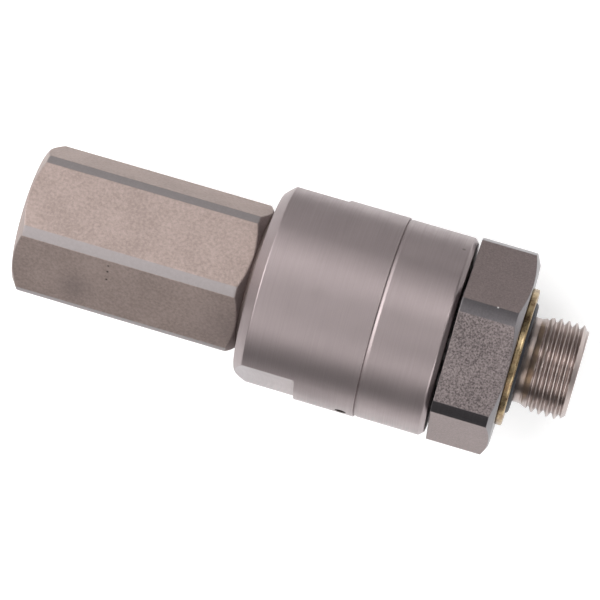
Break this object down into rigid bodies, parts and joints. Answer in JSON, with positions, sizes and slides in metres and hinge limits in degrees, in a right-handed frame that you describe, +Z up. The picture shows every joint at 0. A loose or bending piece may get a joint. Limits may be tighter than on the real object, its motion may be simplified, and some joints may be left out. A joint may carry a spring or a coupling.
{
  "type": "hydraulic swivel joint",
  "caption": "In-line hydraulic swivel joint: long female hexagon on a round bearing housing, and a turning male hexagon with a threaded stud and a bonded sealing washer.",
  "frame": {"origin": "middle of the joint's length, on the swivel axis", "axes": "+X along the swivel axis, towards the male stud; +Z up, square to two flats of the male hexagon"},
  "size_m": [0.0962, 0.0356, 0.035],
  "materials": {
    "female_steel": "fine blasted, warm grey",
    "housing_steel": "fine turned, satin",
    "ring_steel": "fine turned, satin",
    "male_steel": "coarse blasted hexagon, bright cut thread",
    "pin_steel": "black oxide",
    "collar_steel": "turned",
    "bearing_steel": "ground",
    "ball_steel": "polished",
    "cage_brass": "turned",
    "bush_bronze": "bored",
    "black_rubber": "matt",
    "seal_ptfe": "smooth",
    "guide_ptfe": "bronze filled, dull",
    "yellow_zinc": "yellow zinc plated"
  },
  "bodies": {
    "housing_unit": {"female_body": "female_steel", "housing": "housing_steel", "ring_nut": "ring_steel", "lock_pin": "pin_steel", "journal_bush": "bush_bronze", "dust_wiper": "black_rubber", "spigot_o_ring": "black_rubber", "preload_shim": "pin_steel", "front_housing_washer": "bearing_steel", "rear_housing_washer": "bearing_steel", "front_guide_ring": "guide_ptfe", "rear_guide_ring": "guide_ptfe", "seal_backup_ring": "seal_ptfe", "rotary_seal": "seal_ptfe", "seal_energiser": "black_rubber"},
    "male_unit": {"male_body": "male_steel", "thrust_collar": "collar_steel", "collar_set_screw": "pin_steel", "front_shaft_washer": "bearing_steel", "rear_shaft_washer": "bearing_steel", "sealing_washer": "yellow_zinc", "sealing_lip": "black_rubber"},
    "front_ball_set": {"front_cage": "cage_brass", "front_balls": "ball_steel"},
    "rear_ball_set": {"rear_cage": "cage_brass", "rear_balls": "ball_steel"}
  },
  "joints": [
    {"name": "swivel", "type": "hinge", "parent": "housing_unit", "child": "male_unit", "pos_m": [0, 0, 0], "axis": [1, 0, 0], "continuous": true},
    {"name": "front_balls_roll", "type": "hinge", "parent": "housing_unit", "child": "front_ball_set", "pos_m": [0, 0, 0], "axis": [1, 0, 0], "continuous": true},
    {"name": "rear_balls_roll", "type": "hinge", "parent": "housing_unit", "child": "rear_ball_set", "pos_m": [0, 0, 0], "axis": [1, 0, 0], "continuous": true}
  ],
  "couplings": [
    {"joint": "front_balls_roll", "follows": "swivel", "ratio": 0.5},
    {"joint": "rear_balls_roll", "follows": "swivel", "ratio": 0.5}
  ]
}
